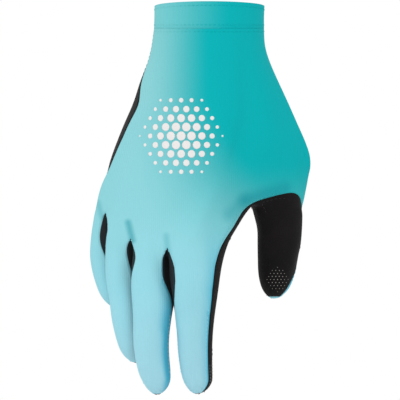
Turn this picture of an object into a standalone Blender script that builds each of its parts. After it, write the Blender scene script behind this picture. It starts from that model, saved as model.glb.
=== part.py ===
"""Slip-on riding glove for the right hand, hung from its wrist opening with the fingers down.

Metres, +Z up. The origin is the middle of the wrist opening, the back of the hand faces -Y
and the thumb points to +X. One closed skin is worked out first: a trunk that splits into five
digits. Each cloth piece is then cut from that skin, pulled in at its seams and given its wall.
"""

import math

import bmesh
import bpy
import numpy as np

# Overall sizes
GLOVE_HEIGHT = 0.2334        # wrist opening down to the tip of the middle finger
HAND_SPAN = 0.1340           # outer side of the little finger to the outer side of the thumb
CUFF_DEPTH = 0.0480          # front to back of the wrist opening
RIM_RISE = 0.0028            # how far the rim rises at the front and dips at the back
HEM_HEIGHT = 0.0136          # turned hem around the wrist opening

# Widths of the digits
LITTLE_WIDTH = 0.0184
RING_WIDTH = 0.0208
MIDDLE_WIDTH = 0.0236
INDEX_WIDTH = 0.0246
THUMB_WIDTH = 0.0276
DIGIT_FLATNESS = 0.90        # depth of a digit over its width
DIGIT_GAP = 0.0007           # least clear space between two digits
FINGER_CURL = 0.0200         # how far the middle fingertip bends towards the palm
MIDDLE_ROLL = 8.0            # turn of the middle finger's back to the little finger's side, degrees
FINGER_WEB_REACH = 0.0110    # length over which a finger takes up its own round section
THUMB_WEB_REACH = 0.0340     # the same at the wide web beside the thumb

# Cloth
BACK_WALL = 0.0012
PALM_WALL = 0.0014
HEM_WALL = 0.0018
MESH_WALL = 0.0011
SEAM_GAP = 0.00036           # clear gap between two pieces along a seam

# Mesh counts
BLOCK_COLUMNS = 4            # columns over the back, and over the front, of each digit
SIDE_COLUMNS = 3             # columns over each side of a digit
HEM_ROWS = 2
TRUNK_ROWS = 12
SHAFT_ROWS = 8               # rows along a digit down to its rounded end
DOME_ANGLES = (26.0, 48.0, 68.0)
SOFTEN_ROUNDS = 3
TRUNK_SOFTNESS = (0.20, 0.35, 0.50, 0.40)    # on the trunk's last rows, down to the webs
LINK_SOFTNESS = 0.15                         # along a web between two digits
SHAFT_SOFTNESS = {1: 0.25, 2: 0.10}          # on a digit's first rows
WEB_TURN = 0.18              # share of half a turn that the skin leans back at the ends of a web
WEB_FADE_ROUNDS = 14         # how far the hollows between the digits are evened out above the webs
WEB_FADE_START = 0.55        # share of the trunk's height where those hollows begin

DIGITS = ("little", "ring", "middle", "index", "thumb")
DIGIT_WIDTHS = dict(zip(DIGITS, (LITTLE_WIDTH, RING_WIDTH, MIDDLE_WIDTH, INDEX_WIDTH, THUMB_WIDTH)))

# Outline of the trunk: drop over the glove height, left and right edge over the hand span
TRUNK_OUTLINE = (
    # drop, left, right
    (-0.012, -0.246, 0.247),
    (0.055, -0.248, 0.244),
    (0.074, -0.252, 0.250),
    (0.113, -0.263, 0.251),
    (0.144, -0.278, 0.272),
    (0.188, -0.311, 0.306),
    (0.252, -0.352, 0.360),
    (0.311, -0.402, 0.408),
    (0.360, -0.440, 0.446),
    (0.406, -0.474, 0.465),
    (0.424, -0.485, 0.466),
    (0.468, -0.510, 0.455),
    (0.526, -0.526, 0.440),
    (0.571, -0.538, 0.428),
    (0.640, -0.545, 0.417),
)

# Tip of each digit: drop over the glove height, height of the rounded end over the digit width
DIGIT_TIPS = {
    "little": (0.775, 0.55),
    "ring": (0.917, 0.62),
    "middle": (0.9985, 0.60),
    "index": (0.9970, 0.52),
    "thumb": (0.752, 0.56),
}

# Middle finger: drop, place over the hand span, width over its own width, depth over its curl
MIDDLE_LINE = (
    # drop, across, width, depth
    (0.500, -0.262, 0.92, -0.408),
    (0.620, -0.262, 0.96, -0.396),
    (0.700, -0.260, 1.06, -0.360),
    (0.757, -0.252, 1.09, -0.300),
    (0.808, -0.260, 0.98, -0.192),
    (0.860, -0.262, 0.92, 0.000),
    (0.913, -0.258, 0.88, 0.264),
    (0.960, -0.240, 0.80, 0.456),
    (1.000, -0.235, 0.74, 0.588),
)

# Other fingers, each set beside its neighbour nearer the middle finger. Angle is how far the
# line between the two turns away from straight across, gap adds to the least clear space.
RING_LINE = (
    # drop, angle, gap, width, roll
    (0.480, 38.0, 0.0000, 1.00, 32.0),
    (0.620, 40.0, 0.0000, 1.01, 34.0),
    (0.700, 42.0, 0.0000, 1.01, 34.0),
    (0.757, 46.0, 0.0000, 1.00, 32.0),
    (0.808, 50.0, 0.0000, 0.98, 30.0),
    (0.860, 56.0, 0.0000, 0.92, 28.0),
    (0.917, 60.0, 0.0000, 0.84, 26.0),
)
LITTLE_LINE = (
    (0.480, 66.0, 0.0000, 1.00, 50.0),
    (0.545, 63.0, 0.0000, 1.00, 50.0),
    (0.640, 59.0, 0.0000, 1.03, 50.0),
    (0.700, 63.0, 0.0000, 0.94, 50.0),
    (0.775, 70.0, 0.0000, 0.84, 48.0),
)
INDEX_LINE = (
    (0.480, 18.0, 0.0000, 1.14, 2.0),
    (0.640, 20.0, 0.0000, 1.31, 2.0),
    (0.700, 22.0, 0.0000, 1.23, 2.0),
    (0.757, 20.0, 0.0000, 1.07, 2.0),
    (0.800, 15.0, 0.0026, 0.96, 2.0),
    (0.860, 11.0, 0.0048, 0.86, 2.0),
    (0.913, 9.0, 0.0052, 0.79, 2.0),
    (0.960, 7.0, 0.0058, 0.76, 2.0),
    (1.000, 7.0, 0.0062, 0.73, 2.0),
)

# Thumb: drop, place over the hand span, depth over the cuff, width over its own width, roll
THUMB_LINE = (
    (0.440, 0.325, 0.300, 1.02, -18.0),
    (0.540, 0.318, 0.330, 1.00, -18.0),
    (0.610, 0.313, 0.387, 0.96, -16.0),
    (0.670, 0.303, 0.452, 0.84, -14.0),
    (0.710, 0.298, 0.492, 0.76, -14.0),
    (0.752, 0.290, 0.533, 0.70, -14.0),
)

# Webs between neighbours: drop at the back of the hand and at the palm, place between the two
# facing sides, reach to the back and to the palm over the mean half depth
WEBS = (
    # back drop, palm drop, place, back reach, palm reach
    (0.527, 0.543, 0.50, 0.80, 0.66),
    (0.600, 0.615, 0.50, 0.80, 0.70),
    (0.628, 0.640, 0.50, 0.84, 0.70),
    (0.504, 0.497, 0.80, 0.55, 0.55),
)
WEB_SAG = 0.009              # drop of the middle of a web over the glove height
LITTLE_SIDE_DROP = 0.545
THUMB_SIDE_DROP = (0.570, 0.560)

# Seam above the black front of the thumb: share of the way across, drop over the glove height
THUMB_ARCH = (
    (0.00, 0.504),
    (0.25, 0.490),
    (0.50, 0.481),
    (0.75, 0.487),
    (1.00, 0.570),
)

# Seams on the back of each digit in degrees above its side, at the web, the slot and below it
SEAM_ANGLES = {
    # name: ((drop, little side, thumb side), ...)
    "little": ((0.50, -6.0, 60.0), (0.60, -6.0, 66.0), (0.68, -6.0, 20.0), (0.78, -6.0, 5.0)),
    "ring": ((0.50, 50.0, 45.0), (0.58, 58.0, 48.0), (0.63, 20.0, 48.0), (0.70, 0.0, 20.0),
             (0.92, 0.0, 0.0)),
    "middle": ((0.60, 40.0, 45.0), (0.66, 44.0, 47.0), (0.71, 8.0, 46.0), (0.77, -8.0, 12.0),
               (0.82, -8.0, -8.0)),
    "index": ((0.50, 38.0, 40.0), (0.66, 40.0, 40.0), (0.73, 36.0, 40.0), (0.78, 4.0, 40.0),
              (0.84, -8.0, 40.0)),
    "thumb": ((0.50, 30.0, -4.0), (0.62, 30.0, -4.0), (0.67, 30.0, 12.0), (0.72, 30.0, 42.0)),
}
PALM_SEAM_ANGLE = 58.0       # seams on the palm side of each digit, in degrees below its side

# Black palm cloth that comes round the little finger's side of the hand
WRAP = (
    # drop, width of the strip seen from the back over the hand span
    (0.154, 0.000),
    (0.195, 0.009),
    (0.226, 0.017),
    (0.254, 0.032),
    (0.311, 0.031),
    (0.350, 0.031),
    (0.411, 0.027),
    (0.442, 0.026),
    (0.480, 0.000),
)

FARTHEST_WRAP = 3.4          # most columns that the strip may cover

# Angles on the wrist opening where the thumb's side, the palm and the little finger's side begin
CUFF_ANGLES = (8.0, -26.0, -156.0)

# Powers that shape how one form runs into the next
ACROSS_EASE = 1.25           # from the wrist opening to the webs
WEB_EASE = 1.3               # from a web to a digit's own section
SHAFT_EASE = 1.40            # spacing of the rows along a digit
SHARPEST_SEAM = 0.35         # a seam on a fold is pulled in by no more than its gap over this

# Colours as linear values
TEAL = (0.110, 0.560, 0.610, 1.0)
DEEP_TEAL = (0.016, 0.480, 0.520, 1.0)
SUEDE_BLACK = (0.012, 0.011, 0.011, 1.0)
MESH_BLACK = (0.006, 0.008, 0.009, 1.0)

PIECES = {
    # name: (wall, colour, roughness)
    "back_panel": (BACK_WALL, TEAL, 0.82),
    "hem_band": (HEM_WALL, DEEP_TEAL, 0.82),
    "palm_panel": (PALM_WALL, SUEDE_BLACK, 0.90),
    "thumb_front": (PALM_WALL, SUEDE_BLACK, 0.90),
    "fourchette_little_ring": (MESH_WALL, MESH_BLACK, 0.75),
    "fourchette_ring_middle": (MESH_WALL, MESH_BLACK, 0.75),
    "fourchette_middle_index": (MESH_WALL, MESH_BLACK, 0.75),
}


def table_value(table, key, column):
    """Read a column of a table at a key, along a smooth curve through its rows."""
    keys = [row[0] for row in table]
    values = [row[column] for row in table]
    key = min(max(key, keys[0]), keys[-1])
    last = len(keys) - 2
    place = min(int(np.searchsorted(keys, key, side="right")) - 1, last)
    span = keys[place + 1] - keys[place]
    share = (key - keys[place]) / span
    slopes = []
    for row in (place, place + 1):
        low = max(row - 1, 0)
        high = min(row + 1, len(keys) - 1)
        slopes.append((values[high] - values[low]) / (keys[high] - keys[low]) * span)
    ease = share * share * (3.0 - 2.0 * share)
    lift = share * (1.0 - share) ** 2
    drop = share * share * (share - 1.0)
    return values[place] * (1.0 - ease) + values[place + 1] * ease + slopes[0] * lift + slopes[1] * drop


def digit_section(name, drop):
    """Middle point, half axes and two unit directions of a digit's level section."""
    if name == "thumb":
        middle = np.array([table_value(THUMB_LINE, drop, 1) * HAND_SPAN,
                           table_value(THUMB_LINE, drop, 2) * CUFF_DEPTH])
        half = 0.5 * THUMB_WIDTH * table_value(THUMB_LINE, drop, 3)
        roll = table_value(THUMB_LINE, drop, 4)
    elif name == "middle":
        middle = np.array([table_value(MIDDLE_LINE, drop, 1) * HAND_SPAN,
                           table_value(MIDDLE_LINE, drop, 3) * FINGER_CURL])
        half = 0.5 * MIDDLE_WIDTH * table_value(MIDDLE_LINE, drop, 2)
        roll = MIDDLE_ROLL
    else:
        table = {"ring": RING_LINE, "little": LITTLE_LINE, "index": INDEX_LINE}[name]
        half = 0.5 * DIGIT_WIDTHS[name] * table_value(table, drop, 3)
        roll = table_value(table, drop, 4)
        middle = None
    turn = math.radians(roll)
    across = np.array([math.cos(turn), -math.sin(turn)])
    outward = np.array([-math.sin(turn), -math.cos(turn)])
    axes = (half, half * DIGIT_FLATNESS)
    if middle is None:
        neighbour = "ring" if name == "little" else "middle"
        near_middle, near_axes, near_across, near_outward = digit_section(neighbour, drop)
        side = 1.0 if name == "index" else -1.0
        angle = math.radians(table_value(table, drop, 1))
        line = np.array([side * math.cos(angle), -side * math.sin(angle)])
        apart = reach(near_axes, near_across, near_outward, line) + reach(axes, across, outward, line)
        middle = near_middle + line * (apart + DIGIT_GAP + table_value(table, drop, 2))
    return middle, axes, across, outward


def reach(axes, across, outward, line):
    """How far a section reaches from its middle along a direction."""
    return math.hypot(axes[0] * float(across @ line), axes[1] * float(outward @ line))


def section_point(name, drop, angle, size=1.0):
    """Point on a digit's section, with the angle in degrees from its thumb side over its back."""
    middle, axes, across, outward = digit_section(name, drop)
    turn = math.radians(angle)
    return middle + size * (across * axes[0] * math.cos(turn) + outward * axes[1] * math.sin(turn))


def digit_angles(name, drop):
    """Angles of a digit's columns, from its little side over the back, round and back again."""
    little_side = 180.0 - table_value(SEAM_ANGLES[name], drop, 1)
    thumb_side = table_value(SEAM_ANGLES[name], drop, 2)
    palm_thumb = -PALM_SEAM_ANGLE
    palm_little = PALM_SEAM_ANGLE - 180.0
    back = np.linspace(little_side, thumb_side, BLOCK_COLUMNS + 1)
    right = np.linspace(thumb_side, palm_thumb, SIDE_COLUMNS + 1)
    front = np.linspace(palm_thumb, palm_little, BLOCK_COLUMNS + 1)
    left = np.linspace(palm_little, little_side - 360.0, SIDE_COLUMNS + 1)
    return np.concatenate([back[:-1], right[:-1], front[:-1], left[:-1]])


def web_line(index):
    """Points of the web between two neighbours, from the back of the hand to the palm."""
    back_drop, palm_drop, place, back_reach, palm_reach = WEBS[index]
    names = (DIGITS[index], DIGITS[index + 1])
    points = []
    for step in range(SIDE_COLUMNS + 1):
        share = step / SIDE_COLUMNS
        drop = back_drop + (palm_drop - back_drop) * share + WEB_SAG * math.sin(math.pi * share)
        first, second = (digit_section(name, drop) for name in names)
        line = second[0] - first[0]
        line = line / np.linalg.norm(line)
        near = first[0] + line * reach(*first[1:], line)
        far = second[0] - line * reach(*second[1:], line)
        level = np.array([line[1], -line[0]])
        half = 0.5 * (first[1][1] + second[1][1])
        height = back_reach - (back_reach + palm_reach) * share
        point = near + (far - near) * place + level * half * height
        points.append((point[0], point[1], -drop * GLOVE_HEIGHT))
    return np.array(points)


class Skin:
    """Closed quad skin of the whole glove, with the piece that each face belongs to."""

    def __init__(self):
        self.points = []
        self.faces = []
        self.pieces = []
        self.set_normals = {}
        self.softness = {}

    def add(self, point):
        """Add a point and give its number."""
        self.points.append(np.asarray(point, dtype=float))
        return len(self.points) - 1

    def quad(self, corners, piece):
        """Add a face that belongs to a piece."""
        self.faces.append(tuple(corners))
        self.pieces.append(piece)


def ring_places():
    """Number of each key place on the trunk's ring of columns."""
    back = BLOCK_COLUMNS * len(DIGITS)
    palm = back + SIDE_COLUMNS
    return back, palm, palm + back, palm + back + SIDE_COLUMNS


def web_ring(webs):
    """Lowest ring of the trunk, made from the digits and the back and palm ends of the webs."""
    back, palm, palm_end, total = ring_places()
    ring = np.zeros((total, 3))
    count = len(DIGITS)
    for place, name in enumerate(DIGITS):
        left_drop = LITTLE_SIDE_DROP if place == 0 else WEBS[place - 1][0]
        right_drop = THUMB_SIDE_DROP[0] if place == count - 1 else WEBS[place][0]
        left_palm = LITTLE_SIDE_DROP if place == 0 else WEBS[place - 1][1]
        right_palm = THUMB_SIDE_DROP[1] if place == count - 1 else WEBS[place][1]
        for step in range(BLOCK_COLUMNS + 1):
            share = step / BLOCK_COLUMNS
            drop = left_drop + (right_drop - left_drop) * share
            if name == "thumb":
                drop = table_value(THUMB_ARCH, share, 1)
            angle = digit_angles(name, drop)[step]
            ring[place * BLOCK_COLUMNS + step] = (*section_point(name, drop, angle), -drop * GLOVE_HEIGHT)
            drop = right_palm + (left_palm - right_palm) * share
            angle = digit_angles(name, drop)[BLOCK_COLUMNS + SIDE_COLUMNS + step]
            column = palm + (count - 1 - place) * BLOCK_COLUMNS + step
            ring[column % total] = (*section_point(name, drop, angle), -drop * GLOVE_HEIGHT)
    for step in range(SIDE_COLUMNS + 1):
        share = step / SIDE_COLUMNS
        drop = THUMB_SIDE_DROP[0] + (THUMB_SIDE_DROP[1] - THUMB_SIDE_DROP[0]) * share
        seam = table_value(SEAM_ANGLES["thumb"], drop, 2)
        angle = seam - (seam + PALM_SEAM_ANGLE) * share
        ring[back + step] = (*section_point("thumb", drop, angle), -drop * GLOVE_HEIGHT)
        seam = table_value(SEAM_ANGLES["little"], LITTLE_SIDE_DROP, 1)
        angle = (PALM_SEAM_ANGLE - 180.0) - (seam + PALM_SEAM_ANGLE) * share
        ring[(palm_end + step) % total] = (*section_point("little", LITTLE_SIDE_DROP, angle),
                                           -LITTLE_SIDE_DROP * GLOVE_HEIGHT)
    for index, web in enumerate(webs):
        ring[(index + 1) * BLOCK_COLUMNS] = web[0]
        ring[palm + (count - 1 - index) * BLOCK_COLUMNS] = web[-1]
    return ring


def outline_edges(height):
    """Left and right edge of the trunk at a height."""
    drop = -height / GLOVE_HEIGHT
    return table_value(TRUNK_OUTLINE, drop, 1) * HAND_SPAN, table_value(TRUNK_OUTLINE, drop, 2) * HAND_SPAN


def trunk_rings(bottom):
    """Rings of the trunk from the rim down to the ring where the digits begin."""
    total = len(bottom)
    back, palm, palm_end, _ = ring_places()
    angles = np.zeros(total)
    angles[:back + 1] = np.linspace(180.0, CUFF_ANGLES[0], back + 1)
    angles[back:palm + 1] = np.linspace(CUFF_ANGLES[0], CUFF_ANGLES[1], SIDE_COLUMNS + 1)
    angles[palm:palm_end + 1] = np.linspace(CUFF_ANGLES[1], CUFF_ANGLES[2], back + 1)
    angles[palm_end:] = np.linspace(CUFF_ANGLES[2], -180.0, SIDE_COLUMNS + 1)[:-1]
    turn = np.radians(angles)
    across_top = np.cos(turn)
    depth_top = -0.5 * CUFF_DEPTH * np.sin(turn)
    rim = RIM_RISE * np.sin(turn)
    across_bottom = np.zeros(total)
    depth_smooth = bottom[:, 1].copy()
    for _ in range(WEB_FADE_ROUNDS):
        depth_smooth = 0.5 * depth_smooth + 0.25 * (np.roll(depth_smooth, 1) + np.roll(depth_smooth, -1))
    for column, point in enumerate(bottom):
        left, right = outline_edges(point[2])
        across_bottom[column] = (2.0 * point[0] - left - right) / (right - left)
    shares = [(0.0, row / HEM_ROWS) for row in range(HEM_ROWS)]
    shares += [(row / TRUNK_ROWS, 1.0) for row in range(TRUNK_ROWS + 1)]
    rings = []
    for share, hem in shares:
        ring = np.zeros((total, 3))
        top = rim * (1.0 - hem) - HEM_HEIGHT * hem
        ring[:, 2] = top + (bottom[:, 2] - top) * share
        ease = share ** ACROSS_EASE
        depth_ease = share * share * (3.0 - 2.0 * share) * 0.5 + share * 0.5
        across = across_top * (1.0 - ease) + across_bottom * ease
        detail = max((share - WEB_FADE_START) / (1.0 - WEB_FADE_START), 0.0) ** 2
        depth_bottom = depth_smooth + (bottom[:, 1] - depth_smooth) * detail
        ring[:, 1] = depth_top * (1.0 - depth_ease) + depth_bottom * depth_ease
        for column in range(total):
            left, right = outline_edges(ring[column, 2])
            ring[column, 0] = 0.5 * (left + right) + 0.5 * (right - left) * across[column]
        rings.append(wrap_palm_cloth(ring) if share < 1.0 else ring)
    return rings


def wrap_palm_cloth(ring):
    """Slide the seam on the little finger's side of a ring over the back of the hand."""
    total = len(ring)
    palm_end = ring_places()[2]
    strip = table_value(WRAP, -ring[0, 2] / GLOVE_HEIGHT, 1) * HAND_SPAN
    if strip <= 0.0:
        return ring
    back = ring[:BLOCK_COLUMNS + 1]
    slide = np.interp(ring[:, 0].min() + strip, back[:, 0], range(BLOCK_COLUMNS + 1))
    steps = np.linspace(min(slide, FARTHEST_WRAP), BLOCK_COLUMNS, BLOCK_COLUMNS + 1)
    side = np.vstack([ring[palm_end:total], back])
    side_steps = np.append(np.linspace(0.0, SIDE_COLUMNS, SIDE_COLUMNS), SIDE_COLUMNS + steps[0])
    moved = ring.copy()
    for axis in range(3):
        moved[:BLOCK_COLUMNS + 1, axis] = np.interp(steps, range(BLOCK_COLUMNS + 1), back[:, axis])
        moved[palm_end:total, axis] = np.interp(side_steps[:-1], range(len(side)), side[:, axis])
    return moved


def web_weight(distance, length):
    """Share of a web's own shape that is left at a distance below it."""
    return max(1.0 - distance / length, 0.0) ** WEB_EASE


def build_digit(skin, name, base, cap_piece, face_piece):
    """Grow a digit's tube from its base ring of point numbers and close its rounded end."""
    tip_drop, dome = DIGIT_TIPS[name]
    width = DIGIT_WIDTHS[name]
    dome_height = dome * width
    tip = -tip_drop * GLOVE_HEIGHT
    start = tip + dome_height
    place = DIGITS.index(name)
    count = len(base)
    back_end = BLOCK_COLUMNS
    palm_start = BLOCK_COLUMNS + SIDE_COLUMNS
    reaches = np.full(count, FINGER_WEB_REACH)
    if name == "thumb":
        reaches[:] = THUMB_WEB_REACH / 2.0
    if name == "index":
        reaches[back_end:palm_start + 1] = THUMB_WEB_REACH
        reaches[back_end - 1] = THUMB_WEB_REACH
    origin = np.array([skin.points[number] for number in base])
    offsets = np.zeros((count, 2))
    for column in range(count):
        drop = -origin[column, 2] / GLOVE_HEIGHT
        angle = digit_angles(name, drop)[column]
        offsets[column] = origin[column, :2] - section_point(name, drop, angle)
    rows = [list(base)]
    for row in range(1, SHAFT_ROWS + 1):
        share = (row / SHAFT_ROWS) ** SHAFT_EASE
        numbers = []
        for column in range(count):
            height = origin[column, 2] + (start - origin[column, 2]) * share
            drop = -height / GLOVE_HEIGHT
            point = section_point(name, drop, digit_angles(name, drop)[column])
            point = point + offsets[column] * web_weight(origin[column, 2] - height, reaches[column])
            numbers.append(skin.add((point[0], point[1], height)))
        rows.append(numbers)
        if row in SHAFT_SOFTNESS:
            skin.softness.update({number: SHAFT_SOFTNESS[row] for number in numbers})
    for angle in DOME_ANGLES:
        turn = math.radians(angle)
        height = start - dome_height * math.sin(turn)
        drop = -height / GLOVE_HEIGHT
        angles = digit_angles(name, drop)
        numbers = []
        for column in range(count):
            point = section_point(name, drop, angles[column], math.cos(turn))
            numbers.append(skin.add((point[0], point[1], height)))
            skin.set_normals[numbers[-1]] = dome_normal(name, skin.points[numbers[-1]], start, dome_height)
        rows.append(numbers)
    for row in range(len(rows) - 1):
        for column in range(count):
            after = (column + 1) % count
            corners = (rows[row][column], rows[row + 1][column], rows[row + 1][after], rows[row][after])
            skin.quad(corners, face_piece(place, row, column))
    close_tip(skin, name, rows[-1], start, dome_height, cap_piece)


def dome_normal(name, point, start, dome_height):
    """Outward direction on a digit's rounded end."""
    middle, axes, across, outward = digit_section(name, -point[2] / GLOVE_HEIGHT)
    away = point[:2] - middle
    level = across * float(away @ across) / axes[0] ** 2 + outward * float(away @ outward) / axes[1] ** 2
    direction = np.array([level[0], level[1], (point[2] - start) / dome_height ** 2])
    return direction / np.linalg.norm(direction)


def close_tip(skin, name, ring, start, dome_height, cap_piece):
    """Close a digit's end ring with a patch of quads that follows its rounded end."""
    wide = BLOCK_COLUMNS
    deep = SIDE_COLUMNS
    grid = [[None] * (wide + 1) for _ in range(deep + 1)]
    for column in range(wide + 1):
        grid[0][column] = ring[column]
        grid[deep][column] = ring[wide + deep + wide - column]
    for row in range(1, deep):
        grid[row][wide] = ring[wide + row]
        grid[row][0] = ring[-row]
    edge = math.cos(math.radians(DOME_ANGLES[-1]))
    level = skin.points[ring[0]][2]
    centre = np.mean([skin.points[number] for number in ring], axis=0)
    for row in range(1, deep):
        for column in range(1, wide):
            down, along = row / deep, column / wide
            sides = skin.points[grid[row][0]] * (1.0 - along) + skin.points[grid[row][wide]] * along
            ends = skin.points[grid[0][column]] * (1.0 - down) + skin.points[grid[deep][column]] * down
            corners = (skin.points[grid[0][0]] * (1.0 - along)
                       + skin.points[grid[0][wide]] * along) * (1.0 - down)
            corners = corners + (skin.points[grid[deep][0]] * (1.0 - along)
                                 + skin.points[grid[deep][wide]] * along) * down
            point = sides + ends - corners
            rim = np.linalg.norm(skin.points[ring[0]][:2] - centre[:2])
            share = min(np.linalg.norm(point[:2] - centre[:2]) / rim, 1.0)
            point[2] = start - dome_height * math.sqrt(1.0 - (edge * share) ** 2)
            point[2] = min(point[2], level)
            grid[row][column] = skin.add(point)
            skin.set_normals[grid[row][column]] = dome_normal(name, point, start, dome_height)
    for row in range(deep):
        for column in range(wide):
            corners = (grid[row][column], grid[row + 1][column],
                       grid[row + 1][column + 1], grid[row][column + 1])
            skin.quad(corners, cap_piece(row))


def face_piece(place, row, column):
    """Piece that a face on a digit's tube belongs to."""
    shaft = row < SHAFT_ROWS
    on_back = column < BLOCK_COLUMNS
    on_right = BLOCK_COLUMNS <= column < BLOCK_COLUMNS + SIDE_COLUMNS
    on_left = column >= 2 * BLOCK_COLUMNS + SIDE_COLUMNS
    if DIGITS[place] == "thumb":
        if row == 0 and not (on_back or on_left or on_right):
            return "palm_panel"
        return "thumb_front" if on_left or on_back else "back_panel"
    if on_back:
        return "back_panel"
    if on_left and place > 0 and shaft:
        return fourchette_name(place - 1)
    if on_right and DIGITS[place] != "index" and shaft:
        return fourchette_name(place)
    return "palm_panel"


def fourchette_name(index):
    """Name of the mesh piece between a finger and its neighbour on the thumb side."""
    return f"fourchette_{DIGITS[index]}_{DIGITS[index + 1]}"


def build_skin():
    """Work out the whole skin: hem, trunk, webs and digits."""
    skin = Skin()
    webs = [web_line(index) for index in range(len(WEBS))]
    back, palm, palm_end, total = ring_places()
    rings = trunk_rings(web_ring(webs))
    numbers = [[skin.add(point) for point in ring] for ring in rings]
    for row in range(len(rings) - 1):
        for column in range(total):
            after = (column + 1) % total
            if row < HEM_ROWS:
                piece = "hem_band"
            else:
                piece = "back_panel" if column < palm else "palm_panel"
            skin.quad((numbers[row][column], numbers[row + 1][column],
                       numbers[row + 1][after], numbers[row][after]), piece)
    last = numbers[-1]
    links = []
    count = len(DIGITS)
    for index, web in enumerate(webs):
        links.append([skin.add(point) for point in web[1:-1]])
        palm_column = palm + (count - 1 - index) * BLOCK_COLUMNS
        line = [last[(index + 1) * BLOCK_COLUMNS], *links[-1], last[palm_column]]
        skin.softness.update({number: LINK_SOFTNESS for number in links[-1]})
        set_web_normals(skin, line)
    for place, name in enumerate(DIGITS):
        first = place * BLOCK_COLUMNS
        base = last[first:first + BLOCK_COLUMNS + 1]
        base += links[place] if place < count - 1 else last[back + 1:palm]
        first = palm + (count - 1 - place) * BLOCK_COLUMNS
        base += [last[number % total] for number in range(first, first + BLOCK_COLUMNS + 1)]
        base += links[place - 1][::-1] if place > 0 else last[palm_end + 1:total]
        cap = cap_piece_thumb if name == "thumb" else cap_piece_finger
        build_digit(skin, name, base, cap, face_piece)
    for ring, softness in zip(numbers[-len(TRUNK_SOFTNESS):], TRUNK_SOFTNESS):
        skin.softness.update({number: softness for number in ring})
    soften(skin)
    return skin


def set_web_normals(skin, line):
    """Set the outward direction along a web, which turns down from the back round to the palm."""
    across = skin.points[line[0]] - skin.points[line[-1]]
    across[2] = 0.0
    across = across / np.linalg.norm(across)
    for step, number in enumerate(line):
        turn = math.pi * (WEB_TURN + (1.0 - 2.0 * WEB_TURN) * step / (len(line) - 1))
        skin.set_normals[number] = across * math.cos(turn) + np.array([0.0, 0.0, -math.sin(turn)])


def cap_piece_finger(row):
    """Piece that a face on a fingertip belongs to, counted from the back."""
    return "back_panel" if row == 0 else "palm_panel"


def cap_piece_thumb(row):
    """Piece that a face on the thumb's tip belongs to."""
    return "back_panel"


def soften(skin):
    """Even out the skin around the ring where the digits begin."""
    neighbours = {}
    for face in skin.faces:
        for corner in range(4):
            first, second = face[corner], face[(corner + 1) % 4]
            neighbours.setdefault(first, set()).add(second)
            neighbours.setdefault(second, set()).add(first)
    for _ in range(SOFTEN_ROUNDS):
        moved = {}
        for number, weight in skin.softness.items():
            mean = np.mean([skin.points[other] for other in neighbours[number]], axis=0)
            moved[number] = skin.points[number] * (1.0 - weight) + mean * weight
        for number, point in moved.items():
            skin.points[number] = point


def skin_normals(skin):
    """Unit outward direction at every point of the skin."""
    points = np.array(skin.points)
    normals = np.zeros_like(points)
    for face in skin.faces:
        first, second, third, fourth = (points[number] for number in face)
        direction = np.cross(third - first, fourth - second)
        for number in face:
            normals[number] += direction
    normals = normals / np.linalg.norm(normals, axis=1)[:, None]
    for number, direction in skin.set_normals.items():
        normals[number] = direction
    return normals


def inward_direction(points, edge, face):
    """Unit direction in a face, square to one of its edges and towards its middle."""
    along = points[edge[1]] - points[edge[0]]
    along = along / np.linalg.norm(along)
    away = np.mean([points[number] for number in face], axis=0) - points[edge[0]]
    away = away - along * float(away @ along)
    return away / np.linalg.norm(away)


def face_edges(face):
    """The four edges of a face, in its own direction."""
    return [(face[corner], face[(corner + 1) % 4]) for corner in range(4)]


def pull_in(skin, faces, points):
    """Points of a piece, with those on its edge moved in by half the seam gap, and its edge."""
    open_edges = {}
    for face in faces:
        for edge in face_edges(face):
            if edge[::-1] in open_edges:
                del open_edges[edge[::-1]]
            else:
                open_edges[edge] = face
    across_seam = {}
    for face in skin.faces:
        for edge in face_edges(face):
            if edge[::-1] in open_edges:
                across_seam[edge[::-1]] = face
    inward = {}
    for edge, face in open_edges.items():
        away = inward_direction(points, edge, face)
        if edge in across_seam:
            other = inward_direction(points, edge, across_seam[edge])
            away = away / max(0.5 * np.linalg.norm(away - other), SHARPEST_SEAM)
        inward.setdefault(edge[0], []).append(away)
        inward.setdefault(edge[1], []).append(away)
    moved = {number: points[number] for face in faces for number in face}
    for number, directions in inward.items():
        total = np.sum(directions, axis=0)
        if len(directions) > 1:
            sizes = [np.linalg.norm(direction) for direction in directions]
            bend = float(directions[0] @ directions[1]) / (sizes[0] * sizes[1])
            total = total / max(1.0 + bend, 0.5)
        moved[number] = points[number] + total * 0.5 * SEAM_GAP
    return moved, open_edges


def halves(face, points):
    """Two triangles of a quad, split along its shorter diagonal."""
    first, second, third, fourth = face
    if np.linalg.norm(points[first] - points[third]) <= np.linalg.norm(points[second] - points[fourth]):
        return (first, second, third), (first, third, fourth)
    return (first, second, fourth), (second, third, fourth)


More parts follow.
